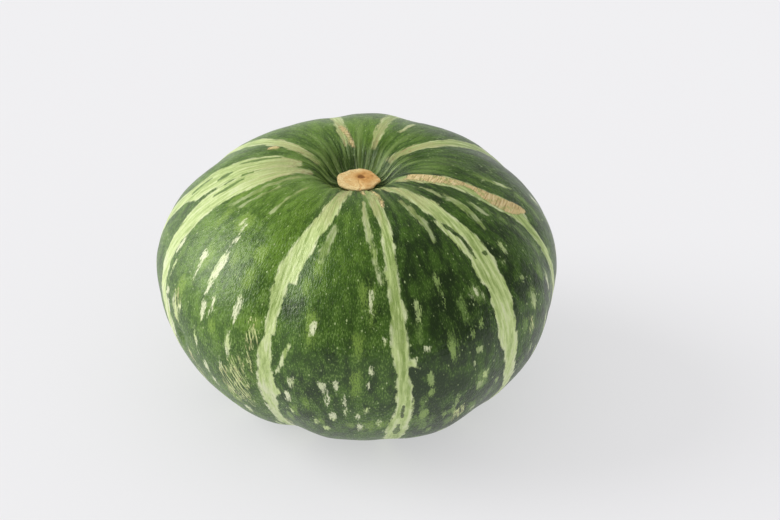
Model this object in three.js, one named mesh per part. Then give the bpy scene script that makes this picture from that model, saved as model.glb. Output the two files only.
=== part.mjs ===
import * as THREE from 'three';

// A kabocha squash as picked: a ribbed fruit resting on its base, with its stalk cut down to a
// low corky button. Millimetres, +Z up, origin on the resting surface under the fruit's middle.
// The front is -Y. A bearing is in degrees, counted from the front towards +X.

// Driving dimensions of the fruit's plain round outline.
const WIDEST_RADIUS = 60;
const WIDEST_HEIGHT = 42.2;
const CREST_RADIUS = 22.1;
const CREST_HEIGHT = 76.6;
const SEAT_RADIUS = 7;
const SEAT_HEIGHT = 69;
const FOOT_RADIUS = 20.6;
const FOOT_WIDTH = 4;
const SCAR_RADIUS = 4;
const SCAR_HEIGHT = 4.5;

// How full the outline's curves are, as shares of the width or height that they turn in.
const SHOULDER_OUTWARD = 0.41;
const SHOULDER_UPWARD = 0.52;
const BELLY_DOWNWARD = 0.49;
const BELLY_OUTWARD = 0.55;

// Each rib starts at a furrow. depth is the furrow's, and low and high are how far the rib swells
// past the plain outline below and above its widest line.
const RIBS = [
  { bearing: -169, depth: 1.0, low: -0.2, high: -0.4 },
  { bearing: -119, depth: 0.8, low: 0.6, high: 0.2 },
  { bearing: -80, depth: 0.5, low: -0.3, high: 0.2 },
  { bearing: -25, depth: 1.6, low: -0.4, high: -0.1 },
  { bearing: 12, depth: 0.6, low: 1.3, high: 0.2 },
  { bearing: 45, depth: 0.9, low: 0.5, high: -0.4 },
  { bearing: 75, depth: 0.8, low: -0.4, high: -0.1 },
  { bearing: 118, depth: 0.9, low: 0.0, high: 0.5 },
  { bearing: 155, depth: 0.9, low: 0.1, high: 0.8 },
];
const FURROW_HALF_WIDTH = 8;

// Driving dimensions of the stalk's button, which stands clear of its seat by a small gap.
const SEAT_GAP = 0.3;
const BUTTON_NECK_RADIUS = 5.4;
const BUTTON_RADIUS = 6.2;
const BUTTON_TOP = 71;
const BUTTON_EDGE = 0.5;
const PITH_RADIUS = 1.8;
const PITH_DEPTH = 0.4;

// Mesh fineness.
const FRUIT_SEGMENTS = 80;
const BUTTON_SEGMENTS = 40;

const { degToRad, euclideanModulo, lerp, smoothstep } = THREE.MathUtils;

function point(radius, height) {
  return new THREE.Vector2(radius, height);
}

function curve(start, startHandle, endHandle, end, steps) {
  return new THREE.CubicBezierCurve(start, startHandle, endHandle, end).getPoints(steps);
}

// The skin's outline from the foot ring up the belly, over the shoulder and down to the seat.
function skinOutline() {
  const footOuter = FOOT_RADIUS + FOOT_WIDTH / 2;
  const bellyWidth = WIDEST_RADIUS - footOuter;
  const shoulderWidth = WIDEST_RADIUS - CREST_RADIUS;
  const shoulderHeight = CREST_HEIGHT - WIDEST_HEIGHT;
  const belly = curve(
    point(footOuter, 0),
    point(footOuter + BELLY_OUTWARD * bellyWidth, 0),
    point(WIDEST_RADIUS, WIDEST_HEIGHT * (1 - BELLY_DOWNWARD)),
    point(WIDEST_RADIUS, WIDEST_HEIGHT),
    12,
  );
  const shoulder = curve(
    point(WIDEST_RADIUS, WIDEST_HEIGHT),
    point(WIDEST_RADIUS, WIDEST_HEIGHT + SHOULDER_UPWARD * shoulderHeight),
    point(CREST_RADIUS + SHOULDER_OUTWARD * shoulderWidth, CREST_HEIGHT),
    point(CREST_RADIUS, CREST_HEIGHT),
    11,
  );
  const hollow = curve(
    point(CREST_RADIUS, CREST_HEIGHT),
    point(CREST_RADIUS - 12, CREST_HEIGHT),
    point(SEAT_RADIUS + 4, SEAT_HEIGHT + 1),
    point(SEAT_RADIUS, SEAT_HEIGHT),
    6,
  );
  return [...belly, ...shoulder.slice(1), ...hollow.slice(1)];
}

// The underside, from the blossom scar on the axis out to the inner edge of the foot ring.
function undersideOutline() {
  const footInner = FOOT_RADIUS - FOOT_WIDTH / 2;
  const dome = curve(
    point(SCAR_RADIUS, SCAR_HEIGHT),
    point(SCAR_RADIUS + 5, SCAR_HEIGHT),
    point(footInner - 6, 0),
    point(footInner, 0),
    5,
  );
  return [point(0, SCAR_HEIGHT), ...dome];
}

// The swelling at a bearing, eased from the middle of one rib to the middle of the next.
function ribSwelling(bearing, key) {
  const width = RIBS.map((rib, i) => {
    const next = RIBS[(i + 1) % RIBS.length];
    return euclideanModulo(next.bearing - rib.bearing, 360);
  });
  for (let i = 0; i < RIBS.length; i += 1) {
    const j = (i + 1) % RIBS.length;
    const span = (width[i] + width[j]) / 2;
    const along = euclideanModulo(bearing - RIBS[i].bearing - width[i] / 2, 360);
    if (along < span) {
      return lerp(RIBS[i][key], RIBS[j][key], smoothstep(along, 0, span));
    }
  }
  return 0;
}

function furrowDepth(bearing) {
  let depth = 0;
  for (const rib of RIBS) {
    const away = euclideanModulo(bearing - rib.bearing + 180, 360) - 180;
    depth += rib.depth * Math.exp(-((away / FURROW_HALF_WIDTH) ** 2));
  }
  return depth;
}

// How far the skin stands off the plain outline. share is the way along the skin, from 0 at the
// stalk to 1 at the foot, and both ends stay round.
function skinOffset(bearing, share) {
  const high = smoothstep(share, 0.12, 0.34) * (1 - smoothstep(share, 0.5, 0.65));
  const low = smoothstep(share, 0.38, 0.59) * (1 - smoothstep(share, 0.75, 1));
  const furrow = smoothstep(share, 0, 0.4) * (1 - smoothstep(share, 0.86, 1));
  return (
    high * ribSwelling(bearing, 'high') +
    low * ribSwelling(bearing, 'low') -
    furrow * furrowDepth(bearing)
  );
}

function fruitGeometry() {
  const underside = undersideOutline();
  const skin = skinOutline();
  const outline = [...underside, ...skin, point(0, SEAT_HEIGHT)];
  const geometry = new THREE.LatheGeometry(outline, FRUIT_SEGMENTS);

  // The lathe turns about Y from +Z, so its turn is the bearing once Y is stood up as Z.
  const lengths = new THREE.SplineCurve(skin).getLengths(skin.length - 1);
  const skinLength = lengths[lengths.length - 1];
  const position = geometry.attributes.position;
  for (let i = 0; i < position.count; i += 1) {
    const step = (i % outline.length) - underside.length;
    if (step > 0 && step < skin.length - 1) {
      const segment = Math.floor(i / outline.length) % FRUIT_SEGMENTS;
      const bearing = (360 * segment) / FRUIT_SEGMENTS;
      const along = skin[step + 1].clone().sub(skin[step - 1]).normalize();
      const offset = skinOffset(bearing, 1 - lengths[step] / skinLength);
      const moved = skin[step].clone().add(point(along.y, -along.x).multiplyScalar(offset));
      const turn = degToRad(bearing);
      position.setXYZ(i, moved.x * Math.sin(turn), moved.y, moved.x * Math.cos(turn));
    }
  }
  geometry.rotateX(Math.PI / 2);
  geometry.computeVertexNormals();
  return geometry;
}

// The cut stalk: a neck that spreads into a flat cork button with a small hollow at its pith.
function buttonGeometry() {
  const base = SEAT_HEIGHT + SEAT_GAP;
  const outline = [
    point(0, base),
    point(BUTTON_NECK_RADIUS, base),
    point(BUTTON_RADIUS, base + BUTTON_EDGE),
    point(BUTTON_RADIUS, BUTTON_TOP - BUTTON_EDGE),
    point(BUTTON_RADIUS - BUTTON_EDGE, BUTTON_TOP),
    point(PITH_RADIUS, BUTTON_TOP),
    point(0, BUTTON_TOP - PITH_DEPTH),
  ];
  const geometry = new THREE.LatheGeometry(outline, BUTTON_SEGMENTS);
  geometry.rotateX(Math.PI / 2);
  return geometry;
}

const skinMaterial = new THREE.MeshStandardMaterial({
  color: 0x2f5a22,
  roughness: 0.45,
  metalness: 0,
});
const corkMaterial = new THREE.MeshStandardMaterial({
  color: 0xc9a468,
  roughness: 0.85,
  metalness: 0,
});

const fruit = new THREE.Mesh(fruitGeometry(), skinMaterial);
fruit.name = 'fruit';

const stalk = new THREE.Mesh(buttonGeometry(), corkMaterial);
stalk.name = 'stalk_button';

const kabocha = new THREE.Group();
kabocha.add(fruit, stalk);

export default kabocha;
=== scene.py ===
import math
import random

import bpy
import numpy as np
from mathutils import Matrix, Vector, noise
from mathutils.geometry import interpolate_bezier


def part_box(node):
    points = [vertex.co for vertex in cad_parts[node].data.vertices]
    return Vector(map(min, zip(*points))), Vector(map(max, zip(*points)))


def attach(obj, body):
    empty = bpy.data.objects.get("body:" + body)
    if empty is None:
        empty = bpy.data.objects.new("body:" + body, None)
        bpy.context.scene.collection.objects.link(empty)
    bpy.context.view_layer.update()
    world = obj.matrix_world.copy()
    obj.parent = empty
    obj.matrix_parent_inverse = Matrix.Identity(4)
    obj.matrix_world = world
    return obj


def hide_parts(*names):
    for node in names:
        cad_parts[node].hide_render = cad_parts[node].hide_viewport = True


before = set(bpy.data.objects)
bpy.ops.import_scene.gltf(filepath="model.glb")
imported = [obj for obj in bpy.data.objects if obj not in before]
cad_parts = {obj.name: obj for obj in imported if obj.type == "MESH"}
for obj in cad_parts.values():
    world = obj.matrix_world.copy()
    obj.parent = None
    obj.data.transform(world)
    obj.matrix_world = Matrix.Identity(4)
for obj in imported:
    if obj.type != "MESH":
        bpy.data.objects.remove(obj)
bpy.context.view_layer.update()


# ---------------------------------------------------------------------------------------------
# The fruit's shape. One grown piece: nine low ribs meet in shallow furrows that run from the
# hollow round the stalk to the foot. Its half outline is spun round the upright axis, and then
# the ribs swell, the furrows sink and the skin gets its dents and folds.

MM = 0.001
WIDEST_RADIUS = 60 * MM
WIDEST_HEIGHT = 42.2 * MM
CREST_RADIUS = 22.1 * MM
CREST_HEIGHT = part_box("fruit")[1].z
SEAT_RADIUS = 7 * MM
SEAT_HEIGHT = 69 * MM
FOOT_RADIUS = 20.6 * MM
FOOT_WIDTH = 4 * MM
SCAR_RADIUS = 4 * MM
SCAR_HEIGHT = 4.5 * MM
SHOULDER_FULLNESS = (0.41, 0.52)
BELLY_FULLNESS = (0.51, 0.55)
OUTLINE_STEP = 0.82 * MM
CURVE_SLACK = 1.1
COLUMNS = 480

# Each rib starts at a furrow. Bearings are in degrees from the front, towards +X. depth is the
# furrow's, low and high are how far the rib swells below and above its widest line, and tone
# is how bright and yellow its green is.
RIBS = [
    {"bearing": -169, "depth": 1.0, "low": -0.2, "high": -0.4, "tone": 0.65},
    {"bearing": -119, "depth": 0.8, "low": 0.6, "high": 0.2, "tone": 0.7},
    {"bearing": -80, "depth": 0.5, "low": -0.3, "high": 0.2, "tone": 0.85},
    {"bearing": -25, "depth": 1.6, "low": -0.4, "high": -0.1, "tone": 0.49},
    {"bearing": 12, "depth": 0.6, "low": 1.3, "high": 0.2, "tone": 0.2},
    {"bearing": 45, "depth": 0.9, "low": 0.5, "high": -0.4, "tone": 0.27},
    {"bearing": 75, "depth": 0.8, "low": -0.4, "high": -0.1, "tone": 0.4},
    {"bearing": 118, "depth": 0.9, "low": 0.0, "high": 0.5, "tone": 0.5},
    {"bearing": 155, "depth": 0.9, "low": 0.1, "high": 0.8, "tone": 0.7},
]
FURROW_HALF_WIDTH = 8


def ease(value, start, end):
    """0 at start and 1 at end, with a smooth rise between."""
    share = np.clip((value - start) / (end - start), 0, 1)
    return share * share * (3 - 2 * share)


def between(value, start, full, waning, end):
    """1 from full to waning, eased down to 0 at start and at end."""
    return ease(value, start, full) * (1 - ease(value, waning, end))


def bend(start, start_handle, end_handle, end):
    """The points of one curve of the outline, each given as (radius, height)."""
    ends = [Vector((radius, 0, height)) for radius, height in (start, start_handle, end_handle, end)]
    steps = max(2, round(CURVE_SLACK * (ends[3] - ends[0]).length / OUTLINE_STEP))
    return interpolate_bezier(*ends, steps + 1)


foot_inner = FOOT_RADIUS - FOOT_WIDTH / 2
foot_outer = FOOT_RADIUS + FOOT_WIDTH / 2
shoulder_width = WIDEST_RADIUS - CREST_RADIUS
shoulder_height = CREST_HEIGHT - WIDEST_HEIGHT
seat_floor = bend(
    (0, SEAT_HEIGHT), (2 * MM, SEAT_HEIGHT),
    (5 * MM, SEAT_HEIGHT), (SEAT_RADIUS, SEAT_HEIGHT),
)
hollow = bend(
    (SEAT_RADIUS, SEAT_HEIGHT), (SEAT_RADIUS + 4 * MM, SEAT_HEIGHT + 1 * MM),
    (CREST_RADIUS - 12 * MM, CREST_HEIGHT), (CREST_RADIUS, CREST_HEIGHT),
)
shoulder = bend(
    (CREST_RADIUS, CREST_HEIGHT),
    (CREST_RADIUS + SHOULDER_FULLNESS[0] * shoulder_width, CREST_HEIGHT),
    (WIDEST_RADIUS, WIDEST_HEIGHT + SHOULDER_FULLNESS[1] * shoulder_height),
    (WIDEST_RADIUS, WIDEST_HEIGHT),
)
belly = bend(
    (WIDEST_RADIUS, WIDEST_HEIGHT), (WIDEST_RADIUS, BELLY_FULLNESS[0] * WIDEST_HEIGHT),
    (foot_outer + BELLY_FULLNESS[1] * (WIDEST_RADIUS - foot_outer), 0), (foot_outer, 0),
)
foot = bend((foot_outer, 0), (foot_outer - 1 * MM, 0), (foot_inner + 1 * MM, 0), (foot_inner, 0))
underside = bend(
    (foot_inner, 0), (foot_inner - 6 * MM, 0),
    (SCAR_RADIUS + 5 * MM, SCAR_HEIGHT), (SCAR_RADIUS, SCAR_HEIGHT),
)
blossom_scar = bend(
    (SCAR_RADIUS, SCAR_HEIGHT), (SCAR_RADIUS - 1 * MM, SCAR_HEIGHT),
    (1 * MM, SCAR_HEIGHT), (0, SCAR_HEIGHT),
)
outline = list(seat_floor)
for curve in (hollow, shoulder, belly, foot, underside, blossom_scar):
    outline += curve[1:]

# How far along the skin each point of the outline is, from the edge of the stalk's seat.
steps_along = [(b - a).length for a, b in zip(outline, outline[1:])]
outline_way = np.concatenate([[0], np.cumsum(steps_along)])
outline_way -= outline_way[len(seat_floor) - 1]
blossom_way = outline_way[-len(blossom_scar)]
foot_way = blossom_way - sum((b - a).length for a, b in zip(underside, underside[1:]))

bpy.ops.object.select_all(action="DESELECT")
rind_mesh = bpy.data.meshes.new("rind")
rind_mesh.from_pydata(outline, [(i, i + 1) for i in range(len(outline) - 1)], [])
rind = bpy.data.objects.new("rind", rind_mesh)
bpy.context.scene.collection.objects.link(rind)
rind.select_set(True)
bpy.context.view_layer.objects.active = rind
bpy.ops.object.modifier_add(type="SCREW")
spun = rind.modifiers[-1]
spun.axis = "Z"
spun.angle = 2 * math.pi
spun.steps = COLUMNS
spun.render_steps = COLUMNS
bpy.ops.object.modifier_apply(modifier=spun.name)
MERGE_DISTANCE = 0.01 * MM
bpy.ops.object.mode_set(mode="EDIT")
bpy.ops.mesh.select_all(action="SELECT")
bpy.ops.mesh.remove_doubles(threshold=MERGE_DISTANCE)
bpy.ops.mesh.normals_make_consistent(inside=False)
bpy.ops.object.mode_set(mode="OBJECT")


def points_of(mesh, what):
    """The places or normals of a mesh's points, one row each."""
    rows = np.empty(3 * len(mesh.vertices), dtype=np.float32)
    mesh.vertices.foreach_get(what, rows)
    return rows.reshape(-1, 3)


place = points_of(rind_mesh, "co")
outward = points_of(rind_mesh, "normal")
radius = np.hypot(place[:, 0], place[:, 1])
bearing = np.degrees(np.arctan2(place[:, 0], -place[:, 1]))

# Seen from a point on the axis, the outline only ever turns one way, so its turn gives how far
# along the skin a point is.
EYE_HEIGHT = 40 * MM
outline_turn = [math.atan2(abs(p.x), p.z - EYE_HEIGHT) for p in outline]
way = np.interp(np.arctan2(radius, place[:, 2] - EYE_HEIGHT), outline_turn, outline_way)


def apart(bearings, other):
    """The angle from one bearing to another, between -180 and 180 degrees."""
    return (bearings - other + 180) % 360 - 180


furrows = [rib["bearing"] for rib in RIBS]
next_furrows = furrows[1:] + furrows[:1]
middles = [start + (end - start) % 360 / 2 for start, end in zip(furrows, next_furrows)]


def over_ribs(key):
    """A rib's value at each point of the skin, eased from one rib's middle to the next."""
    total = np.zeros(len(bearing))
    for i, rib in enumerate(RIBS):
        span_before = (middles[i] - middles[i - 1]) % 360
        span_after = (middles[(i + 1) % len(RIBS)] - middles[i]) % 360
        away = apart(bearing, middles[i])
        distance = np.where(away < 0, -away / span_before, away / span_after)
        total += rib[key] * ease(1 - distance, 0, 1)
    return total


furrow_depth = sum(
    rib["depth"] * np.exp(-((apart(bearing, rib["bearing"]) / FURROW_HALF_WIDTH) ** 2))
    for rib in RIBS
)

# The ribs' swelling and the furrows come and go on the way from the stalk's seat to the foot.
share = np.clip(way / foot_way, 0, 1)
high = between(share, 0.12, 0.34, 0.5, 0.65)
low = between(share, 0.38, 0.59, 0.75, 1)
furrow = between(share, 0, 0.4, 0.86, 1)
swelling = high * over_ribs("high") + low * over_ribs("low") - furrow * furrow_depth

# Small folds run out from the stalk's seat, and the whole skin is a little uneven. The crest
# sags slightly at the front, and the belly was pressed in on the left as it grew.
FOLD_DEPTH = 0.5
BROAD_FOLDS, NARROW_FOLDS, NARROW_SHARE = 8, 18, 0.6
UNEVEN_DEPTH = 0.25
UNEVEN_PER_METRE = 70
FRONT_SAG = 0.6
FRONT_SAG_BEARING, FRONT_SAG_HALF_WIDTH = 5, 45
DENT_DEPTH = 0.9
DENT_BEARING, DENT_WAY = -59.5, 80
DENT_WIDTH, DENT_LENGTH = 1.6, 2.6


def fold_height(x, y):
    """The folds' height in one direction, made of broad folds with narrow ones on them."""
    broad = noise.noise((BROAD_FOLDS * x, BROAD_FOLDS * y, 0))
    narrow = noise.noise((NARROW_FOLDS * x, NARROW_FOLDS * y, 5))
    return broad + NARROW_SHARE * narrow


turned = np.stack([np.sin(np.radians(bearing)), np.cos(np.radians(bearing))], axis=1)
folds = np.array([fold_height(x, y) for x, y in turned])
uneven = np.array([noise.fractal(p * UNEVEN_PER_METRE, 1.0, 2.0, 3) for p in map(Vector, place)])
swelling += FOLD_DEPTH * folds * between(way, 0, 3 * MM, 6 * MM, 20 * MM)
swelling += UNEVEN_DEPTH * uneven * ease(way, 2 * MM, 20 * MM) * (1 - ease(share, 0.9, 1))
front = np.exp(-((apart(bearing, FRONT_SAG_BEARING) / FRONT_SAG_HALF_WIDTH) ** 2))
swelling -= FRONT_SAG * front * between(way, 5 * MM, 14 * MM, 24 * MM, 40 * MM)
across_dent = np.radians(apart(bearing, DENT_BEARING)) * radius / MM
along_dent = way / MM - DENT_WAY
swelling -= DENT_DEPTH * np.exp(-((across_dent / DENT_WIDTH) ** 2) - (along_dent / DENT_LENGTH) ** 2)


# ---------------------------------------------------------------------------------------------
# The rind's markings. Pale stripes lie in the furrows, with thinner strands beside some of
# them, and a few strips of tan cork where the skin split as it grew and healed. They are part
# of the skin, so each is kept as a field over its points: how many mm inside it they are.

# Each path is a list of (mm along the skin from the stalk's seat, bearing, width in mm), and
# pale is how light the stripe is. The stripes in the furrows come first, from the left round by
# the front to the back, with a paler strip on one of them, and then the strands beside them.
STRIPES = [
    {"pale": 0.9, "path": [
        (9, -74, 2), (16, -77, 5), (25, -76, 8), (35, -77, 9), (45, -78, 9), (52, -77, 8),
        (60, -76, 7), (66, -74, 6.5), (72, -70, 5.5), (78, -67.5, 4.5), (90, -66, 3.5),
        (105, -64, 3), (125, -62, 2.5)]},
    {"pale": 0.8, "path": [
        (12, -90, 3), (20, -91, 7), (30, -91.5, 9.5), (40, -92, 10), (46, -92, 9.5), (50, -94, 6.5),
        (56, -95.5, 6), (62, -97, 8), (70, -98, 7), (80, -97, 5), (100, -95, 4), (122, -92, 2.5)]},
    {"pale": 0.74, "path": [
        (6, -9, 2), (12, -13, 3.5), (20, -15.5, 4.5), (26, -17.6, 5.2), (32, -20.6, 5.6),
        (37, -23.2, 5.6), (42, -25.4, 5), (48, -26, 4.4), (55, -25.8, 4), (60, -25.8, 3.4),
        (65, -26, 3), (70, -26.6, 4), (75, -26.5, 4.4), (80, -26.7, 5.4), (85, -26.1, 6.2),
        (88, -26.9, 4.6), (92, -26.8, 3.4), (100, -27.4, 2.9), (112, -27, 3.4), (128, -24, 2.5)]},
    {"pale": 0.85, "path": [(30, -18, 2), (38, -20.5, 3.6), (44, -22.3, 3.6), (48.3, -22.6, 3)]},
    {"pale": 0.5, "path": [
        (6, 7, 2), (12, 10, 3), (18, 12, 3.4), (26, 13.5, 3), (34, 12.8, 3.2), (40, 11.9, 3.4),
        (50, 11.8, 3.6), (60, 11.6, 4.7), (67, 11.5, 5.5), (72, 11.7, 4.1), (75, 11.8, 3.4),
        (78, 12.5, 4.6), (83, 12.8, 4.7), (90, 12.8, 5), (95, 12, 6.2), (100, 12.2, 6),
        (112, 12.5, 4.5), (125, 13, 2.5)]},
    {"pale": 0.75, "path": [
        (6, 20, 2), (11, 30, 3), (15, 36, 3.6), (20, 39.5, 4), (26, 41.5, 5.8), (32, 43.5, 5.5),
        (37, 46, 4.6), (41, 47.9, 4.4), (45, 47, 6), (48, 45.9, 8.8), (53, 45.9, 8), (56, 46.6, 7.2),
        (60, 46.2, 8), (65, 45.6, 7.8), (70, 45.1, 7.4), (75, 46.1, 6.4), (80, 47.3, 4.7),
        (85, 48.2, 4.6), (90, 49.8, 4.4), (95, 51.7, 2.6), (110, 53, 3), (125, 54, 2.5)]},
    {"pale": 0.6, "path": [
        (8, 56, 1.5), (15, 62.5, 4.6), (20, 66, 5.4), (25, 70, 5.4), (30, 71.8, 5.6), (35, 73.2, 5.8),
        (40, 75.5, 6.4), (46, 78.5, 6), (50, 78.3, 4.6), (56, 78, 3.6), (65, 77.5, 3.4),
        (75, 77.6, 3), (85, 79, 3), (95, 78, 3.6), (110, 77, 3), (124, 76, 2.5)]},
    {"pale": 0.55, "path": [
        (6, 127, 2), (12, 119, 3), (20, 117.5, 4), (30, 119, 4.8), (40, 121, 5), (55, 122, 5),
        (75, 121, 5.4), (86, 120, 4), (100, 120, 4.5), (126, 119, 3)]},
    {"pale": 0.5, "path": [
        (8, 160, 2), (20, 162, 3), (30, 163, 3.6), (40, 162, 4), (55, 159, 5), (70, 158, 5.5),
        (82, 156, 4), (100, 155, 5), (125, 156, 3)]},
    {"pale": 0.7, "path": [
        (9, -165, 1.5), (14, -166, 3), (20, -167, 3.2), (30, -168, 3.6), (40, -168.5, 4), (55, -168, 5),
        (70, -169, 6), (84, -169, 4.4), (105, -169, 4), (125, -170, 3)]},
    {"pale": 0.8, "path": [
        (7, -108, 2), (14, -114, 3), (20, -117, 4), (28, -120.5, 4.6), (36, -123, 4.8), (45, -124, 5),
        (60, -123, 5.4), (85, -121, 4.4), (105, -119, 4.8), (125, -118, 3)]},
    {"pale": 0.3, "path": [(18, 4, 0.9), (26, 4.4, 1.5), (32, 5, 1.7), (38, 6.2, 1.4), (47, 7.3, 1.1)]},
    {"pale": 0.15, "path": [(28, -10.5, 1), (33, -12, 2), (38, -13.5, 2.9), (41.5, -14.2, 1.2)]},
    {"pale": 0.15, "path": [(20, 29, 1), (26, 30.5, 2.1), (31, 31.4, 1.9), (38, 31.8, 1)]},
    {"pale": 0.8, "path": [(31, 37.5, 1), (35, 39, 1.8), (40, 41.6, 2), (46, 42.5, 2.2)]},
    {"pale": 0.1, "path": [(15, -45, 0.6), (22, -45, 0.7), (31, -45, 0.6)]},
    {"pale": 0.1, "path": [(14, -63, 0.8), (22, -64, 1.8), (30, -64.5, 1.6), (37, -66, 0.8)]},
    {"pale": 0.1, "path": [(22, -58, 0.7), (29, -60, 1.2), (35, -61.5, 0.7)]},
    {"pale": 0.5, "path": [(33, 85, 0.8), (38, 87.5, 1.4), (43, 90, 0.9)]},
    {"pale": 0.2, "path": [(25, 55, 0.9), (31, 56.3, 2.2), (36, 56.4, 1.7), (41, 56.2, 0.9)]},
    {"pale": 0.2, "path": [(31, 60.6, 0.8), (34, 61.4, 1.5), (39, 63, 0.8)]},
    {"pale": 0.1, "path": [(18, 52, 0.7), (24, 53.6, 1.2), (28, 54, 0.7)]},
    {"pale": 0.55, "path": [(68.7, 13.9, 3.4), (71.3, 13.9, 3.2)]},
    {"pale": 0.4, "path": [(17, 146, 0.8), (23, 147, 1), (28, 148, 0.7)]},
    {"pale": 0.4, "path": [(66, -19.3, 0.9), (72, -21.2, 1), (77.5, -23.8, 1)]},
]
SCARS = [
    [(11.5, 61, 2.5), (15, 63, 3.8), (20, 66.5, 4.4), (25, 70.5, 3.6), (28, 73, 2.2), (32, 74.2, 2.6),
     (35, 73.8, 4.6), (40, 75.8, 5.6), (44, 78.3, 5.8), (46.5, 80.6, 4.2), (49, 83, 1.4)],
    [(8, -174, 0.8), (10, -172, 1.6), (12.5, -170.4, 1.3), (14.5, -168.6, 2.2), (17, -167.3, 1.8),
     (19, -166.6, 0.8)],
    [(11, 14.5, 0.8), (14, 16, 1.3), (17, 17, 0.9), (19, 16.5, 1.3), (21.5, 15.8, 0.8)],
    [(10, 5, 0.7), (12, 4.4, 1), (14, 6, 0.7)],
    [(20.5, -110.6, 1.2), (22, -110.2, 2.4), (24, -109.8, 1.4)],
]
SLITS = [
    [(33, 40.6, 0.8), (38, 43.6, 1), (43, 44.4, 1), (46.5, 44.2, 0.6)],
    [(45.8, 49.1, 1.2), (46.6, 49.1, 1.7), (47.4, 49.1, 1)],
    [(85.5, 12.8, 0.8), (90, 12.6, 1.1), (92, 12.6, 0.8)],
    [(95.5, 12.4, 0.9), (98, 12.4, 1.2), (101, 12.4, 2.4), (104, 12.4, 1)],
    [(26, -84, 0.8), (30, -84, 1)],
    [(29, -80.6, 0.8), (35, -79.8, 1.6), (40, -80.6, 0.9)],
    [(32.5, -90.5, 1), (35, -90.4, 2.2), (38, -90, 0.9)],
    [(18, -97, 0.8), (26, -95.5, 1.4), (31, -96, 0.8)],
    [(40, -95, 0.8), (44, -94, 1.4), (48, -93, 1)],
]

# Small marks, each (bearing, start and end in mm along the skin, width): bright dashes, soft
# pale spots, and patches of fine yellow scratches.
DASHES = [
    (-49.2, 46.8, 56, 3.1), (-49.3, 55.5, 60, 1.8), (-48.5, 62.3, 67.6, 2.3), (-45.5, 60.3, 64, 1.1),
    (-36.8, 56.4, 63.4, 2.4), (-37.8, 67.5, 74.8, 2.1), (-48.4, 82, 87, 1.6), (-50.7, 73, 78, 1.0),
    (-57.2, 50, 53.3, 2.6), (-56.6, 53.3, 57.5, 0.9), (-61, 69.5, 74.5, 3.2), (-62.8, 67.5, 71, 1.4),
    (-58.8, 68, 71.5, 1.4), (-41, 78, 81.6, 0.9), (-49.5, 41.4, 44.4, 1.2), (-52.6, 36, 38.6, 1.3),
    (-50.6, 37, 39.8, 1.0), (-13, 58, 62, 2.4), (-9.8, 76, 79.6, 2.4),
    (-6, 74.8, 79.2, 1.5), (-8.5, 79.5, 85, 1.3), (-3.6, 81, 87.6, 1.2), (-18.8, 76.5, 80.5, 2.3),
    (-20.5, 83, 87.5, 2.0), (-20, 91, 93.6, 1.6), (0, 89, 91.2, 1.4), (-9.7, 97, 100, 2.2),
    (-12.4, 93.5, 96.5, 1.6), (0.6, 94.5, 98.4, 1.6), (4.1, 49, 54, 1.3), (17.8, 53, 58.5, 2.1),
    (18.8, 65.3, 67.3, 1.9), (26, 46.7, 50.8, 1.4), (26, 51.4, 55, 1.2), (38.1, 53.6, 56.4, 1.8),
    (35.6, 55, 57, 1.2), (40, 56, 58.4, 1.2), (32.6, 64.5, 67, 1.5), (36, 62.5, 65.3, 2.0),
    (25.8, 65.6, 70.3, 2.0), (34, 69.8, 71.7, 3.0), (19.5, 73.5, 77.8, 2.4), (20, 79, 82, 1.7),
    (36.8, 79, 82, 2.2), (35.4, 82, 85.6, 2.0), (28.2, 85, 91, 1.5), (25.4, 90.3, 94, 1.7),
    (6.3, 92, 95.5, 1.7), (2.8, 75.5, 77.5, 1.5), (3.5, 70.3, 72.8, 1.5), (2.4, 85.5, 88, 1.5),
    (57, 46, 50, 1.6),
    (57, 58, 60, 1.5), (58.5, 64, 69, 2.6), (57.5, 80.5, 84.5, 1.8), (43.4, 85.6, 89, 2.0),
    (53.5, 51.2, 52.8, 1.5), (7.6, 62, 64, 1.2), (32.4, 74, 76.2, 1.2),
]
SPOTS = [
    (-13.4, 55, 65, 4.2), (-16.7, 46.6, 50.4, 2.2), (-14, 40.4, 45.6, 3.2), (-37, 40.6, 45.6, 4.8),
    (-36.7, 48, 54, 4.2), (-60.5, 60, 67, 5.0), (0, 60.6, 67.4, 3.4), (-0.5, 71.6, 81.4, 3.6),
    (-15, 83.6, 88.4, 2.4), (1.5, 46.6, 52.4, 2.2), (17.2, 59.6, 64.4, 2.2), (31.7, 55, 61, 2.8),
    (37.6, 52.6, 58.6, 4.2), (18, 83, 88.6, 2.2), (18.8, 89.6, 97.4, 3.4), (53, 69.6, 74.8, 2.6),
    (56.5, 70.6, 75.8, 2.4), (4.1, 47, 57, 2.4), (58.4, 62.6, 69.6, 4.0), (36, 78, 86, 5.6),
    (-44, 66, 70, 3.0), (-30, 60, 64, 2.6), (26, 64, 71, 3.2), (-56, 48, 54.5, 4.4),
    (86.5, 30, 36, 2.6), (65.5, 35.6, 39.6, 1.8), (88.5, 44, 49.5, 2.6), (87.5, 51, 56, 2.2),
    (68, 41, 46, 2.2), (71, 47, 52, 2.2), (79, 37, 42, 1.8), (-52, 34, 41, 5.6),
    (-68, 30, 36, 2.6), (-63, 36, 43, 3.6), (-45, 45, 50, 3.0),
]
SCRATCHES = [
    (-40, 80, 94, 5.5), (-35.4, 75, 94, 6.0), (-31.4, 63, 80, 1.6), (-30.4, 64, 70, 4.2),
    (-61, 65, 75, 4.6), (-57.5, 83, 88, 3.6), (-66, 84, 92, 4.4), (-26, 100, 108, 5.0),
    (31, 91, 99, 4.0), (56.5, 71, 76, 2.6),
]

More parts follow.
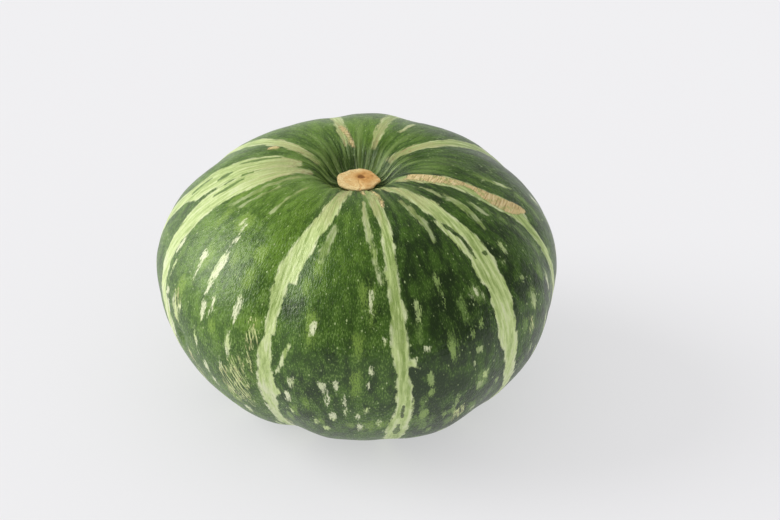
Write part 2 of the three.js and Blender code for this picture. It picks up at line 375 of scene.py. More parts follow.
# The front, as far as HAND_SET_BEARING to each side and HAND_SET_END along the skin, has only
# the marks above. Over the rest they are scattered, and start from MARKS_START to MARKS_END,
# most of them near MARKS_MOST.
HAND_SET_BEARING = 62
HAND_SET_END = 88
MARKS_START, MARKS_MOST, MARKS_END = 42, 88, 121

# A small mark is a box with round corners, and MARK_TAPER of its first width at its end. A field
# is the same everywhere that is more than FIELD_LIMIT mm inside or outside a mark.
MARK_TAPER = 0.7
MARK_SQUARENESS = 3
FIELD_LIMIT = 6


def scattered(count, lengths, widths, seed):
    """Marks over the rest of the skin: its sides and back, and under the belly."""
    chance = random.Random(seed)
    rows = []
    while len(rows) < count:
        middle = chance.uniform(-180, 180)
        start = chance.triangular(MARKS_START, MARKS_END, MARKS_MOST)
        mark = (middle, start, start + chance.uniform(*lengths), chance.uniform(*widths))
        if abs(middle) > HAND_SET_BEARING or start > HAND_SET_END:
            rows.append(mark)
    return rows


def band(path):
    """How far inside a band the points are, in mm."""
    ways, bearings, widths = zip(*path)
    middle = np.interp(way / MM, ways, bearings)
    half_width = np.interp(way / MM, ways, widths) / 2
    across = np.radians(np.abs(apart(bearing, middle))) * radius / MM
    from_ends = np.minimum(way / MM - ways[0], ways[-1] - way / MM)
    return np.minimum(half_width - across, from_ends)


def bands(paths):
    """How far inside any of the bands the points are, in mm."""
    return np.clip(np.max([band(path) for path in paths], axis=0), -FIELD_LIMIT, FIELD_LIMIT)


def marks(rows):
    """Small marks as a field. Each narrows a little towards its end, as the skin's own marks do."""
    # A mark counts only for points this near to it, in mm past its ends and in degrees.
    past_end = 4
    beside_middle = 25
    field = np.full(len(way), -float(FIELD_LIMIT))
    for middle, start, end, width in rows:
        near = np.abs(way / MM - (start + end) / 2) < (end - start) / 2 + past_end
        near &= np.abs(apart(bearing, middle)) < beside_middle
        ways = way[near] / MM
        half_width = np.interp(ways, (start, end), (width, MARK_TAPER * width)) / 2
        across = np.radians(np.abs(apart(bearing[near], middle))) * radius[near] / MM
        beside = np.abs(ways - (start + end) / 2) / (end - start) * 2
        reach = (across / half_width) ** MARK_SQUARENESS + beside ** MARK_SQUARENESS
        inside = np.maximum((1 - reach ** (1 / MARK_SQUARENESS)) * half_width, -FIELD_LIMIT)
        field[near] = np.maximum(field[near], inside)
    return field


stripe_fields = np.array([band(stripe["path"]) for stripe in STRIPES])
stripe = np.clip(stripe_fields.max(axis=0), -FIELD_LIMIT, FIELD_LIMIT)
stripe_pale = np.array([path["pale"] for path in STRIPES])[stripe_fields.argmax(axis=0)]
blossom = np.clip((way - blossom_way) / MM, -FIELD_LIMIT, FIELD_LIMIT)
scar = np.maximum(bands(SCARS), blossom)

# Healed cork stands a little proud of the skin.
SCAR_RISE = 0.3
swelling += SCAR_RISE * ease(scar, -0.5, 0.6)

# Between two furrows the green keeps one tone, and it changes under the stripe.
TONE_CHANGE = 3
tone = np.zeros(len(bearing))
for rib, after in zip(RIBS, RIBS[1:] + RIBS[:1]):
    past_start = ease(apart(bearing, rib["bearing"]), -TONE_CHANGE, TONE_CHANGE)
    past_end = ease(apart(bearing, after["bearing"]), -TONE_CHANGE, TONE_CHANGE)
    tone += rib["tone"] * past_start * (1 - past_end)

fields = {
    "stripe": stripe,
    "stripe_pale": stripe_pale,
    "scar": scar,
    "slit": bands(SLITS),
    "dash": marks(DASHES + scattered(135, (2, 6.5), (1.2, 2.6), 3)),
    "spot": marks(SPOTS + scattered(140, (2.5, 7), (1.8, 4.2), 8)),
    "scratch": marks(SCRATCHES + scattered(22, (5, 12), (2.5, 5), 21)),
    "tone": tone,
}

# The swelling moves each point outwards, and the foot stays level with what it stands on.
place += outward * (swelling * MM)[:, None]
place[:, 2] = np.maximum(place[:, 2], 0)
rind_mesh.vertices.foreach_set("co", place.astype(np.float32).ravel())
for name, values in fields.items():
    kept = rind_mesh.attributes.new(name, "FLOAT", "POINT")
    kept.data.foreach_set("value", values.astype(np.float32))
rind_mesh.update()

# The skin is laid out flat as round (0 to 1, cut along the stripe at the back) and along.
CUT_BEARING = -169
SKIN_ROUND = 2 * math.pi * WIDEST_RADIUS / MM
SKIN_ALONG = (outline_way[-1] - outline_way[0]) / MM
corner_point = np.empty(len(rind_mesh.loops), dtype=np.int32)
rind_mesh.loops.foreach_get("vertex_index", corner_point)
face_corners = np.empty(len(rind_mesh.polygons), dtype=np.int32)
rind_mesh.polygons.foreach_get("loop_total", face_corners)
face_middle = np.empty(3 * len(rind_mesh.polygons), dtype=np.float32)
rind_mesh.polygons.foreach_get("center", face_middle)
face_middle = np.repeat(face_middle.reshape(-1, 3), face_corners, axis=0)
face_bearing = (np.degrees(np.arctan2(face_middle[:, 0], -face_middle[:, 1])) - CUT_BEARING) % 360
corner_bearing = face_bearing + apart(bearing[corner_point] - CUT_BEARING, face_bearing)
on_axis = radius[corner_point] < MERGE_DISTANCE
corner_bearing[on_axis] = face_bearing[on_axis]
corner_along = (way[corner_point] - outline_way[0]) / MM / SKIN_ALONG
layout = rind_mesh.uv_layers.new(name="skin")
flat = np.stack([corner_bearing / 360, corner_along], axis=1)
layout.uv.foreach_set("vector", flat.astype(np.float32).ravel())
bpy.ops.object.select_all(action="DESELECT")
rind.select_set(True)
bpy.context.view_layer.objects.active = rind
bpy.ops.object.shade_smooth()


class Finish:
    """A material, with short ways to add its nodes. Values may be numbers, colours or sockets."""

    def __init__(self, name):
        self.material = bpy.data.materials.new(name)
        self.material.use_nodes = True
        self.tree = self.material.node_tree
        self.shader = self.tree.nodes["Principled BSDF"]

    def add(self, kind, inputs, output=0, **settings):
        """A new node with its inputs and settings. Gives the socket of one of its outputs."""
        made = self.tree.nodes.new("ShaderNode" + kind)
        for name, value in settings.items():
            setattr(made, name, value)
        for key, value in inputs.items():
            self.put(value, made.inputs[key])
        return made.outputs[output]

    def put(self, value, socket):
        """Links a socket to another, or sets a plain value on it."""
        if isinstance(value, bpy.types.NodeSocket):
            self.tree.links.new(value, socket)
        else:
            socket.default_value = value

    def sum(self, *terms):
        """All the terms added up."""
        total = terms[0]
        for term in terms[1:]:
            total = self.add("Math", {0: total, 1: term}, operation="ADD")
        return total

    def times(self, *terms):
        """All the terms multiplied."""
        product = terms[0]
        for term in terms[1:]:
            product = self.add("Math", {0: product, 1: term}, operation="MULTIPLY")
        return product

    def ease(self, value, start, end, low=0.0, high=1.0):
        """The value taken smoothly from low at start to high at end."""
        inputs = {"Value": value, "From Min": start, "From Max": end, "To Min": low, "To Max": high}
        return self.add("MapRange", inputs, interpolation_type="SMOOTHSTEP")

    def mix(self, part, first, second):
        """The first colour where part is 0, the second where it is 1."""
        inputs = {0: part, 6: first, 7: second}
        return self.add("Mix", inputs, output=2, data_type="RGBA")

    def scaled(self, place, size):
        """A place counted in steps of the given size."""
        steps = tuple(1 / s if s else 0 for s in size)
        return self.add("VectorMath", {0: place, 1: steps}, operation="MULTIPLY")

    def grain(self, place, size, detail=2.0):
        """Soft random grain from 0 to 1, with spots of the given size."""
        inputs = {"Vector": self.scaled(place, size), "Scale": 1.0, "Detail": detail}
        return self.add("TexNoise", inputs)

    def cells(self, place, size, shape="EUCLIDEAN", feature="F1"):
        """Random cells of the given size: how far it is to a cell's point, and its random colour."""
        inputs = {"Vector": self.scaled(place, size), "Scale": 1.0}
        distance = self.add("TexVoronoi", inputs, distance=shape, feature=feature)
        return distance, distance.node.outputs["Color"]

    def part(self, colour, channel):
        """One channel of a colour: 0 is red, 1 is green, 2 is blue."""
        return self.add("SeparateColor", {0: colour}, output=channel)

    def field(self, name):
        """A field that is kept on the points of the mesh."""
        return self.add("Attribute", {}, output=2, attribute_name=name)

    def finish(self, colour, roughness, height, shine, thing):
        """Puts the pattern on the shader, with height in mm, and the material on the thing."""
        self.put(colour, self.shader.inputs["Base Color"])
        self.put(roughness, self.shader.inputs["Roughness"])
        self.put(shine, self.shader.inputs["Specular IOR Level"])
        inputs = {"Height": height, "Distance": 1 * MM, "Strength": 1.0}
        self.put(self.add("Bump", inputs), self.shader.inputs["Normal"])
        thing.data.materials.append(self.material)


# The rind's finish. A hard waxy skin: dark green, flecked all over with small paler dashes and
# dots that follow its length, paler and streaky in the stripes, and dry and ridged where it
# has healed.
DARK_GREEN = (0.013, 0.035, 0.003, 1)
LEAF_GREEN = (0.044, 0.108, 0.005, 1)
MOSS_GREEN = (0.128, 0.255, 0.012, 1)
FLECK_GREEN = (0.170, 0.280, 0.060, 1)
MARK_GREEN = (0.230, 0.340, 0.090, 1)
PIN_GREEN = (0.460, 0.570, 0.260, 1)
SPOT_GREEN = (0.210, 0.340, 0.045, 1)
STRIPE_GREEN = (0.235, 0.345, 0.075, 1)
STRIPE_PALE = (0.560, 0.680, 0.280, 1)
CREAM = (0.700, 0.740, 0.480, 1)
SCRATCH_YELLOW = (0.620, 0.680, 0.300, 1)
OLIVE = (0.130, 0.170, 0.040, 1)
SOFT_TAN = (0.440, 0.430, 0.190, 1)
CORK_TAN = (0.620, 0.490, 0.230, 1)
CORK_PALE = (0.780, 0.660, 0.380, 1)
CORK_BROWN = (0.250, 0.150, 0.050, 1)

# The sizes of the pattern's grains and cells, in mm: round the fruit and along the skin, or
# the same every way. A size of 1 in the third place has no effect on the flat skin.
PATCH_SIZE = (16, 16, 16)
MOTTLE_SIZE = (3.2, 6, 1)
FLECK_SIZE = (0.42, 0.95, 1)
SHADE_SIZE = (0.5, 1.3, 1)
PIN_SPACING = (1.15, 1.6, 1)
BLOCK_SIZE = (0.7, 2.2, 1)
SMALL_BLOCK_SIZE = (0.38, 0.9, 1)
FINE_SIZE = (0.3, 0.7, 1)
DASH_STREAK_SIZE = (0.45, 4, 1)
DASH_SHADE_SIZE = (9, 9, 9)
SCRATCH_SIZE = (0.62, 8, 1)
CROSS_SCRATCH_SIZE = (0.8, 5, 1)
SCRATCH_TAN_SIZE = (2.2, 2.2, 2.2)
STREAK_SIZE = (1.5, 11, 1)
FINE_STREAK_SIZE = (0.35, 3, 1)
TAN_STREAK_SIZE = (2.5, 12, 1)
TOP_SPECK_SIZE = (0.9, 0.9, 0.9)
EDGE_WANDER_SIZE = (3.5, 5, 1)
PUCKER_SIZE = (9, 20, 1)
THIN_PUCKER_SIZE = (4, 18, 1)
CORK_RUNG_SIZE = (7, 0.5, 1)
CORK_SPECK_SIZE = (1.6, 1.6, 1.6)
PEEL_SIZE = (0.6, 1.3, 1)
PIT_SPACING = (1.3, 1.3, 1.3)
SCRATCH_LEAN = 0.35
PEEL_HEIGHT = 0.22
PIT_HEIGHT = 0.09
PIN_HEIGHT = 0.02
RUNG_DEPTH = 0.4
PUCKER_HEIGHT = 0.8
WAX_SHINE = 0.44

wax = Finish("waxy_rind")
skin = wax.scaled(wax.add("UVMap", {}, uv_map="skin"), (1 / SKIN_ROUND, 1 / SKIN_ALONG, 0))
solid = wax.scaled(wax.add("TexCoord", {}, output=3), (MM, MM, MM))
along = wax.add("SeparateXYZ", {0: skin}, output=1)
near_stalk = wax.ease(along, 24, 9)

# Greens: one tone for each rib, brighter on the shoulder, in patches and in small mottles.
patches = wax.grain(solid, PATCH_SIZE, 2.0)
mottle = wax.grain(skin, MOTTLE_SIZE, 3.0)
brightness = wax.sum(
    wax.times(wax.field("tone"), wax.ease(along, 30, 80, 1.15, 0.7)),
    wax.ease(patches, 0.3, 0.7, -0.16, 0.16),
    wax.ease(mottle, 0.3, 0.7, -0.18, 0.22),
)
green = wax.mix(wax.ease(brightness, 0.0, 0.55), DARK_GREEN, LEAF_GREEN)
green = wax.mix(wax.ease(brightness, 0.45, 1.25), green, MOSS_GREEN)
# Painted shade: the green is darkened in the hollow round the stalk.
green = wax.mix(wax.times(near_stalk, 0.55), green, DARK_GREEN)

# Fine flecks crowd in some places and thin out in others.
crowding = wax.sum(
    wax.ease(mottle, 0.35, 0.65, -0.05, 0.06),
    wax.ease(wax.field("tone"), 0.1, 0.8, -0.03, 0.03),
)
fleck_grain = wax.sum(wax.grain(skin, FLECK_SIZE, 3.0), crowding)
fleck = wax.ease(fleck_grain, 0.52, 0.68)
fleck_strength = wax.ease(wax.field("tone"), 0.1, 0.7, 0.36, 0.75)
green = wax.mix(wax.times(fleck, fleck_strength), green, FLECK_GREEN)
shade_grain = wax.grain(skin, SHADE_SIZE, 2.0)
green = wax.mix(wax.times(wax.ease(shade_grain, 0.46, 0.3), 0.6), green, DARK_GREEN)

# Pinpricks, each with its own size and strength, and more of them on the brighter ribs.
pin_distance, pin_colour = wax.cells(skin, PIN_SPACING)
pins_missing = wax.ease(wax.field("tone"), 0.1, 0.8, 0.5, 0.15)
pin_size = wax.ease(wax.part(pin_colour, 0), pins_missing, 1.0, 0.0, 0.26)
pin = wax.ease(wax.sum(pin_size, wax.times(pin_distance, -1)), -0.03, 0.08)
pin_strength = wax.ease(wax.part(pin_colour, 1), 0, 1, 0.2, 0.75)
green = wax.mix(wax.times(pin, pin_strength), green, PIN_GREEN)

# Ragged edges: the skin's cells are oblong, so every pale mark has small steps in its edge.
block_random = wax.part(wax.cells(skin, BLOCK_SIZE, shape="CHEBYCHEV")[1], 0)
small_block_random = wax.part(wax.cells(skin, SMALL_BLOCK_SIZE, shape="CHEBYCHEV")[1], 0)
fine_grain = wax.grain(skin, FINE_SIZE, 2.0)
ragged = wax.sum(
    wax.times(block_random, 0.8), wax.times(small_block_random, 0.5), wax.times(fine_grain, 0.8), -1.05,
)

# Soft spots.
spot_area = wax.ease(wax.sum(wax.field("spot"), ragged), -0.6, 0.9)
spot = wax.times(spot_area, wax.ease(fine_grain, 0.3, 0.6, 0.2, 0.9))
spot_colour = wax.mix(wax.ease(wax.field("tone"), 0.2, 0.6), FLECK_GREEN, SPOT_GREEN)
green = wax.mix(spot, green, spot_colour)

# Streaky bright dashes, which are greener on the dark ribs.
streak = wax.grain(skin, DASH_STREAK_SIZE, 3.0)
dash = wax.ease(wax.sum(wax.field("dash"), wax.times(ragged, 0.75)), -0.22, 0.3)
dash = wax.times(dash, wax.ease(streak, 0.3, 0.5, 0.4, 1.0), wax.ease(fine_grain, 0.25, 0.5, 0.5, 1.0))
dash_colour = wax.mix(wax.ease(wax.grain(solid, DASH_SHADE_SIZE), 0.35, 0.55), STRIPE_PALE, CREAM)
dash_tone = wax.sum(wax.field("tone"), wax.ease(patches, 0.3, 0.7, -0.15, 0.15))
dash_colour = wax.mix(wax.ease(dash_tone, 0.45, 0.1), dash_colour, MARK_GREEN)
green = wax.mix(dash, green, dash_colour)

# Fine yellow scratches that lean to one side, with a few across them.
flat_round = wax.add("SeparateXYZ", {0: skin}, output=0)
leaning_round = wax.sum(flat_round, wax.times(along, -SCRATCH_LEAN))
crossing_round = wax.sum(flat_round, wax.times(along, SCRATCH_LEAN / 2))
leaning = wax.add("CombineXYZ", {0: leaning_round, 1: along})
crossing = wax.add("CombineXYZ", {0: crossing_round, 1: along})
scratch_grain = wax.grain(leaning, SCRATCH_SIZE, 3.0)
cross_grain = wax.grain(crossing, CROSS_SCRATCH_SIZE, 2.0)
cross_line = wax.times(wax.ease(cross_grain, 0.56, 0.64), 0.6)
scratch_line = wax.sum(wax.ease(scratch_grain, 0.47, 0.56), cross_line)
scratch_area = wax.ease(wax.sum(wax.field("scratch"), wax.times(ragged, 1.6)), -0.4, 0.6)
scratch_dark = wax.times(scratch_area, wax.ease(scratch_grain, 0.46, 0.36))
green = wax.mix(wax.times(scratch_dark, 0.6), green, DARK_GREEN)
scratch_tan = wax.ease(wax.grain(solid, SCRATCH_TAN_SIZE, 2.0), 0.48, 0.64)
scratch_colour = wax.mix(scratch_tan, SCRATCH_YELLOW, SOFT_TAN)
green = wax.mix(wax.times(scratch_area, scratch_line, 0.85), green, scratch_colour)

# Stripes: streaky along their length, in blocks paler and greener, with dark slits. They turn
# tan on the shoulder, and near the stalk, in the hollow, they are darkened to olive: painted shade.
streaks = wax.grain(skin, STREAK_SIZE, 3.0)
fine_streaks = wax.grain(skin, FINE_STREAK_SIZE, 3.0)
paleness = wax.sum(
    wax.field("stripe_pale"),
    wax.ease(streaks, 0.3, 0.7, -0.38, 0.38),
    wax.ease(block_random, 0, 1, -0.12, 0.12),
    wax.ease(along, 55, 100, -0.14, 0.24),
)
stripe_colour = wax.mix(wax.ease(paleness, 0.0, 1.0), STRIPE_GREEN, STRIPE_PALE)
stripe_colour = wax.mix(wax.ease(paleness, 0.75, 1.5), stripe_colour, CREAM)
stripe_colour = wax.mix(wax.times(wax.ease(fine_streaks, 0.54, 0.7), 0.4), stripe_colour, FLECK_GREEN)
stripe_colour = wax.mix(wax.times(wax.ease(fine_streaks, 0.42, 0.28), 0.3), stripe_colour, CREAM)
stripe_edge = wax.ease(wax.field("stripe"), 1.1, 0.1)
stripe_colour = wax.mix(wax.times(stripe_edge, wax.ease(mottle, 0.4, 0.6), 0.6), stripe_colour, CREAM)
tan_streaks = wax.ease(wax.grain(skin, TAN_STREAK_SIZE, 2.0), 0.35, 0.6, 0.15, 0.85)
stripe_colour = wax.mix(wax.times(wax.ease(along, 42, 22), tan_streaks), stripe_colour, SOFT_TAN)
# Painted shade: the stripes are darkened to olive in the hollow round the stalk.
stripe_colour = wax.mix(wax.times(near_stalk, 0.5), stripe_colour, OLIVE)
top_specks = wax.ease(wax.grain(solid, TOP_SPECK_SIZE, 2.0), 0.5, 0.62)
top_specks = wax.times(top_specks, wax.ease(along, 30, 15), 0.45)
stripe_colour = wax.mix(top_specks, stripe_colour, CORK_BROWN)
wander = wax.ease(wax.grain(skin, EDGE_WANDER_SIZE, 2.0), 0.3, 0.7, -0.4, 0.4)
stripe_share = wax.ease(wax.sum(wax.field("stripe"), wax.times(ragged, 0.5), wander), -0.34, 0.36)
stripe_share = wax.times(stripe_share, wax.ease(along, 6, 18, 0.35, 1.0))
stripe_share = wax.times(stripe_share, wax.ease(wax.field("stripe_pale"), 0.0, 0.45, 0.55, 1.0))
slit_share = wax.ease(wax.sum(wax.field("slit"), wax.times(ragged, 0.4)), -0.2, 0.15)
stripe_share = wax.times(stripe_share, wax.ease(slit_share, 0.0, 1.0, 1.0, 0.15))
colour = wax.mix(stripe_share, green, stripe_colour)

# Near the stalk the skin is puckered, with thin pale lines. The fold crests are painted paler and
# the fold hollows darker: painted highlight and painted shade on the folds' relief.
pucker = wax.grain(skin, PUCKER_SIZE, 2.0)
# Painted highlight: pale on the crests of the puckered folds.
painted_fold_highlight = wax.times(wax.ease(pucker, 0.47, 0.64), wax.ease(along, 36, 14))
colour = wax.mix(wax.times(painted_fold_highlight, 0.62), colour, MARK_GREEN)
thin_pucker = wax.ease(wax.grain(skin, THIN_PUCKER_SIZE, 1.0), 0.55, 0.66)
colour = wax.mix(wax.times(thin_pucker, wax.ease(along, 17, 7), 0.55), colour, PIN_GREEN)
# Painted shade: dark in the hollows between the folds.
painted_fold_shade = wax.times(wax.ease(pucker, 0.48, 0.36), wax.ease(along, 24, 8))
colour = wax.mix(wax.times(painted_fold_shade, 0.7), colour, DARK_GREEN)

# Cork: tan, with fine darker and paler rungs across it and specks of green.
scar_share = wax.ease(wax.sum(wax.field("scar"), wax.times(ragged, 0.6)), -0.2, 0.3)
rungs = wax.grain(skin, CORK_RUNG_SIZE, 1.0)
scar_colour = wax.mix(wax.times(wax.ease(rungs, 0.52, 0.68), 0.55), CORK_TAN, CORK_BROWN)
scar_colour = wax.mix(wax.times(wax.ease(rungs, 0.46, 0.34), 0.6), scar_colour, CORK_PALE)
green_specks = wax.ease(wax.grain(solid, CORK_SPECK_SIZE, 3.0), 0.5, 0.64)
scar_colour = wax.mix(wax.times(green_specks, 0.5), scar_colour, STRIPE_GREEN)
colour = wax.mix(scar_share, colour, scar_colour)

# The skin's relief: a leathery peel of fine bumps, shallow pits, and pinpricks a touch raised.
peel = wax.grain(skin, PEEL_SIZE, 2.0)
pits = wax.cells(solid, PIT_SPACING, feature="SMOOTH_F1")[0]
height = wax.sum(
    wax.times(peel, PEEL_HEIGHT),
    wax.times(pits, PIT_HEIGHT),
    wax.times(pin, PIN_HEIGHT),
    wax.times(scar_share, rungs, -RUNG_DEPTH),
    wax.times(pucker, near_stalk, PUCKER_HEIGHT),
)
roughness = wax.sum(
    wax.ease(peel, 0.3, 0.7, 0.31, 0.41), wax.times(scar_share, 0.4), wax.times(stripe_share, 0.05),
)
wax.finish(colour, roughness, height, WAX_SHINE, rind)

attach(rind, "root")
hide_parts("fruit")


# ---------------------------------------------------------------------------------------------
# The stalk button. What is left of the cut stalk: a dry corky disc, a little wider than its
# neck, grown onto the middle of the hollow. Its pith has sunk and browned, and a crack runs
# from there to the front edge.

BUTTON_RADIUS = 6.2 * MM
BUTTON_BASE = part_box("stalk_button")[0].z
PITH_PLACE = (0.9 * MM, 1.4 * MM)
PITH_RADIUS = 1.5 * MM
PITH_DEPTH = 0.4
CRACK_DEPTH = 0.28
CRACK_WIDTH = 0.25 * MM
BUTTON_POINTS = 160
BUTTON_LUMPS = 0.16
BUTTON_LUMPS_PER_METRE = 420
BUTTON_GROOVES = 0.12
TOP_RING_STEP = 0.3
TOP_CROWN = 0.06

# Its wall and rim from the base up, as (radius, height) in mm.
BUTTON_SIDE = [
    (5.2, 0), (5.25, 0.3), (5.6, 0.6), (5.95, 0.85), (6.12, 1.05), (6.18, 1.25), (6.1, 1.45),
    (5.9, 1.58), (5.6, 1.64),
]

# Its outline is a rounded polygon: (bearing, how far the edge stands out, in mm, half width).
BUTTON_CORNERS = [(84, 0.55, 14), (40, 0.3, 13), (-50, 0.3, 22), (-115, 0.25, 16), (160, 0.3, 18)]
BUTTON_FLATS = [(62, 0.3, 12), (-85, 0.1, 14), (-145, 0.3, 16), (120, 0.25, 14)]

bpy.ops.object.select_all(action="DESELECT")
bpy.ops.mesh.primitive_circle_add(
    vertices=BUTTON_POINTS, radius=BUTTON_SIDE[0][0] * MM, fill_type="NOTHING",
    location=(0, 0, BUTTON_BASE),
)
button = bpy.context.object
button.name = "stalk_button_cork"
bpy.ops.object.transform_apply(location=True, rotation=True, scale=True)
bpy.ops.object.mode_set(mode="EDIT")
bpy.ops.mesh.select_all(action="SELECT")


def next_ring(old_radius, new_radius, rise):
    """Carries the wall on from the last ring of edges to a new one."""
    size = new_radius / old_radius
    bpy.ops.mesh.extrude_region_move(TRANSFORM_OT_translate={"value": (0, 0, rise)})
    bpy.ops.transform.resize(value=(size, size, 1), center_override=(0, 0, 0))


# From the base, up the neck, round the edge, and in over the top, which is a little crowned.
button_rings = list(BUTTON_SIDE)
rim_radius, rim_height = BUTTON_SIDE[-1]
top_radius = rim_radius
while top_radius > 0.5:
    top_radius -= TOP_RING_STEP
    button_rings.append((top_radius, rim_height + TOP_CROWN * (1 - top_radius / rim_radius)))
for (radius_before, height_before), (radius_now, height_now) in zip(button_rings, button_rings[1:]):
    next_ring(radius_before, radius_now, (height_now - height_before) * MM)

# The last ring closes to a point, and the open base gets its face.
bpy.ops.mesh.merge(type="CENTER")
bpy.ops.mesh.select_all(action="DESELECT")
bpy.ops.mesh.select_non_manifold()
bpy.ops.mesh.edge_face_add()
bpy.ops.mesh.select_all(action="SELECT")
bpy.ops.mesh.normals_make_consistent(inside=False)
bpy.ops.object.mode_set(mode="OBJECT")

button_place = points_of(button.data, "co").astype(np.float64)
button_bearing = np.degrees(np.arctan2(button_place[:, 0], -button_place[:, 1]))
button_reach = np.hypot(button_place[:, 0], button_place[:, 1])
edge_shift = np.zeros(len(button_place))
for middle, reach, half_width in BUTTON_CORNERS:
    edge_shift += reach * np.exp(-((apart(button_bearing, middle) / half_width) ** 2))
for middle, reach, half_width in BUTTON_FLATS:
    edge_shift -= reach * np.exp(-((apart(button_bearing, middle) / half_width) ** 2))
spread = 1 + edge_shift * MM / BUTTON_RADIUS * ease(button_reach, 1 * MM, 5 * MM)
button_place[:, :2] *= spread[:, None]
on_top = ease(button_place[:, 2], BUTTON_BASE + 0.5 * MM, BUTTON_BASE + 1.4 * MM)
button_points = [Vector(p) * BUTTON_LUMPS_PER_METRE for p in button_place]
lumps = np.array([noise.fractal(p, 1.0, 2.0, 3) for p in button_points])
groove_angles = np.radians(button_bearing)
grooves = np.array([noise.noise((6 * math.sin(a), 6 * math.cos(a), 3)) for a in groove_angles])
pith_distance = np.hypot(button_place[:, 0] - PITH_PLACE[0], button_place[:, 1] - PITH_PLACE[1])
pith = 1 - ease(pith_distance, 0.3 * PITH_RADIUS, 1.25 * PITH_RADIUS)
crack_line = PITH_PLACE[0] - 0.3 * MM + 0.35 * MM * np.sin(button_place[:, 1] / (0.9 * MM))
crack = 0.6 * np.exp(-(((button_place[:, 0] - crack_line) / CRACK_WIDTH) ** 2))
crack *= 1 - ease(button_place[:, 1], -0.5 * MM, 0.8 * MM)
lift = BUTTON_LUMPS * lumps + BUTTON_GROOVES * grooves * ease(button_reach, 3 * MM, 6 * MM)
lift -= PITH_DEPTH * pith + CRACK_DEPTH * crack
button_place[:, 2] += lift * MM * on_top
button.data.vertices.foreach_set("co", button_place.astype(np.float32).ravel())

# The pith and the crack are stained brown, and the stain seeps out round them and to the right.
SEEP_ROUND, SEEP_RIGHT, SEEP_MOST = 0.55, 0.42, 0.6
seep = SEEP_ROUND * (1 - ease(pith_distance, 1 * MM, 4.8 * MM))
seep += SEEP_RIGHT * ease(button_place[:, 0], -0.5 * MM, 3 * MM)
stain = np.maximum(np.clip(pith + 0.7 * crack + 0.3 * seep, 0, 1), np.minimum(seep, SEEP_MOST))
stain_kept = button.data.attributes.new("stain", "FLOAT", "POINT")
stain_kept.data.foreach_set("value", stain.astype(np.float32))
button.data.update()
bpy.ops.object.shade_smooth()

# Dry cork: tan, paler at the rim, mottled, with fine pores, and brown where the pith has sunk.
# Under the rim, down the neck, it is darkened brown: painted shadow.
BUTTON_TAN = (0.720, 0.480, 0.200, 1)
BUTTON_PALE = (0.820, 0.640, 0.320, 1)
BUTTON_AMBER = (0.560, 0.270, 0.070, 1)
BUTTON_BROWN = (0.190, 0.075, 0.018, 1)
CLOUD_SIZE = (1.6, 1.6, 1.6)
FIBRE_SIZE = (0.5, 0.5, 0.5)
PORE_SPACING = (0.8, 0.8, 0.8)
GRIT_SIZE = (0.35, 0.35, 0.35)
CORK_SHINE = 0.2
RIM_HEIGHT = 1.1 * MM

dry = Finish("dry_cork")
cork_place = dry.scaled(dry.add("TexCoord", {}, output=3), (MM, MM, MM))
from_middle = dry.add("VectorMath", {0: cork_place, 1: (1, 1, 0)}, operation="MULTIPLY")
reach = dry.add("VectorMath", {0: from_middle}, output=1, operation="LENGTH")
clouds = dry.grain(cork_place, CLOUD_SIZE, 3.0)
pale_share = dry.ease(dry.sum(clouds, dry.ease(reach, 3.5, 6, 0, 0.25)), 0.42, 0.72)
cork = dry.mix(pale_share, BUTTON_TAN, BUTTON_PALE)
fibres = dry.ease(dry.grain(cork_place, FIBRE_SIZE, 3.0), 0.5, 0.66)
cork = dry.mix(dry.times(fibres, 0.6), cork, BUTTON_AMBER)
pore_distance, pore_colour = dry.cells(cork_place, PORE_SPACING)
pore = dry.times(dry.ease(pore_distance, 0.22, 0.1), dry.ease(dry.part(pore_colour, 0), 0.5, 0.9))
cork = dry.mix(dry.times(pore, 0.6), cork, BUTTON_BROWN)
stain_grain = dry.sum(dry.field("stain"), dry.ease(clouds, 0.3, 0.7, -0.18, 0.18))
cork = dry.mix(dry.times(dry.ease(stain_grain, 0.1, 0.75), 0.85), cork, BUTTON_AMBER)
cork = dry.mix(dry.times(dry.ease(stain_grain, 0.6, 1.05), 0.9), cork, BUTTON_BROWN)
# Painted shadow: the neck under the rim is darkened towards brown.
cork_height = dry.add("SeparateXYZ", {0: cork_place}, output=2)
painted_rim_shadow = dry.ease(cork_height, (BUTTON_BASE + RIM_HEIGHT) / MM, BUTTON_BASE / MM)
cork = dry.mix(dry.times(painted_rim_shadow, 0.7), cork, BUTTON_BROWN)
grit = dry.grain(cork_place, GRIT_SIZE, 3.0)
cork_relief = dry.sum(dry.times(clouds, 0.25), dry.times(grit, 0.12), dry.times(pore, -0.1))
dry.finish(cork, dry.ease(clouds, 0.3, 0.7, 0.62, 0.8), cork_relief, CORK_SHINE, button)

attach(button, "root")
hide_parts("stalk_button")


# ---------------------------------------------------------------------------------------------
# The table top and light. A pale matt surface that glows a little, so that shadows stay faint,
# a low soft window on the left, and a room that is brighter at the back than at the front.

TABLE_SIZE = 6.0
TABLE_WHITE = (0.325, 0.325, 0.345, 1)
TABLE_ROUGHNESS = 0.6
TABLE_GLOW = 0.515
TABLE_GLOW_COLOUR = (0.99, 0.99, 1.0, 1)
bpy.ops.object.select_all(action="DESELECT")
bpy.ops.mesh.primitive_plane_add(size=TABLE_SIZE, location=(0, 0, 0))
table = bpy.context.object
table.name = "table_top"
table_paint = bpy.data.materials.new("pale_table")
table_paint.use_nodes = True
table_shader = table_paint.node_tree.nodes["Principled BSDF"]
table_shader.inputs["Base Color"].default_value = TABLE_WHITE
table_shader.inputs["Roughness"].default_value = TABLE_ROUGHNESS
table_shader.inputs["Specular IOR Level"].default_value = 0.0
table_shader.inputs["Emission Color"].default_value = TABLE_GLOW_COLOUR
table_shader.inputs["Emission Strength"].default_value = TABLE_GLOW
table.data.materials.append(table_paint)

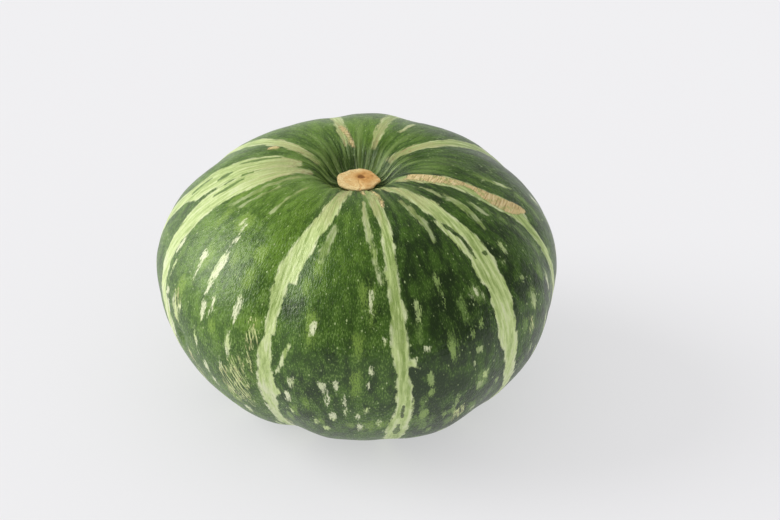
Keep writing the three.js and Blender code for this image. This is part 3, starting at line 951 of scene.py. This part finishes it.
# The room lights everything evenly, but what shines back off the waxy skin is dim at the front,
# brighter at the back and brightest on the left. The limits are how far a ray points that way.
ROOM_COLOUR = (1.0, 0.985, 0.96, 1)
ROOM_LIGHT = 0.8
SHINE_FRONT, SHINE_BACK = 0.12, 0.46
SHINE_BACK_LIMITS = (0.1, 0.95)
SHINE_LEFT = 1.3
SHINE_LEFT_LIMITS = (-0.5, -1.0)
world = bpy.data.worlds.new("room")
bpy.context.scene.world = world
world.use_nodes = True
room = world.node_tree
background = room.nodes["Background"]
background.inputs["Color"].default_value = ROOM_COLOUR
direction = room.nodes.new("ShaderNodeTexCoord").outputs["Generated"]
split = room.nodes.new("ShaderNodeSeparateXYZ")
room.links.new(direction, split.inputs[0])


def shine_towards(axis, limits, least, most):
    """How bright the room's shine is, eased from least to most between the limits on one axis."""
    made = room.nodes.new("ShaderNodeMapRange")
    made.interpolation_type = "SMOOTHSTEP"
    room.links.new(split.outputs[axis], made.inputs["Value"])
    made.inputs["From Min"].default_value = limits[0]
    made.inputs["From Max"].default_value = limits[1]
    made.inputs["To Min"].default_value = least
    made.inputs["To Max"].default_value = most
    return made.outputs["Result"]


shine_sum = room.nodes.new("ShaderNodeMath")
room.links.new(shine_towards("Y", SHINE_BACK_LIMITS, SHINE_FRONT, SHINE_BACK), shine_sum.inputs[0])
room.links.new(shine_towards("X", SHINE_LEFT_LIMITS, 0.0, SHINE_LEFT), shine_sum.inputs[1])
ray = room.nodes.new("ShaderNodeLightPath")
strength = room.nodes.new("ShaderNodeMix")
strength.data_type = "FLOAT"
strength.inputs["A"].default_value = ROOM_LIGHT
room.links.new(ray.outputs["Is Glossy Ray"], strength.inputs["Factor"])
room.links.new(shine_sum.outputs["Value"], strength.inputs["B"])
room.links.new(strength.outputs["Result"], background.inputs["Strength"])

# The window: one low light, so wide that its shadows have no hard edge.
WINDOW_DIRECTION = Vector((-1.0, 0.12, 0.55))
WINDOW_ANGLE = math.radians(40)
WINDOW_LIGHT = 2.1
WINDOW_COLOUR = (1.0, 0.99, 0.97)
window = bpy.data.lights.new("left_window", "SUN")
window.energy = WINDOW_LIGHT
window.angle = WINDOW_ANGLE
window.color = WINDOW_COLOUR
window_light = bpy.data.objects.new("left_window", window)
window_light.location = WINDOW_DIRECTION
window_light.rotation_euler = WINDOW_DIRECTION.to_track_quat("Z", "Y").to_euler()
bpy.context.scene.collection.objects.link(window_light)

# The camera looks down at the front from a little above.
CAMERA_DISTANCE = 0.6
CAMERA_ELEVATION = math.radians(32)
CAMERA_TARGET = Vector((0, 0, 0.04))
CAMERA_LENS, CAMERA_SENSOR = 91.9, 36
CAMERA_SHIFT = (0.041, 0.0106)
camera_data = bpy.data.cameras.new("camera")
camera_data.sensor_width = CAMERA_SENSOR
camera_data.lens = CAMERA_LENS
camera_data.shift_x, camera_data.shift_y = CAMERA_SHIFT
camera = bpy.data.objects.new("camera", camera_data)
back = Vector((0, -math.cos(CAMERA_ELEVATION), math.sin(CAMERA_ELEVATION)))
camera.location = CAMERA_TARGET + back * CAMERA_DISTANCE
camera.rotation_euler = (-back).to_track_quat("-Z", "Y").to_euler()
bpy.context.scene.collection.objects.link(camera)
bpy.context.scene.camera = camera
bpy.context.scene.view_settings.view_transform = "Standard"
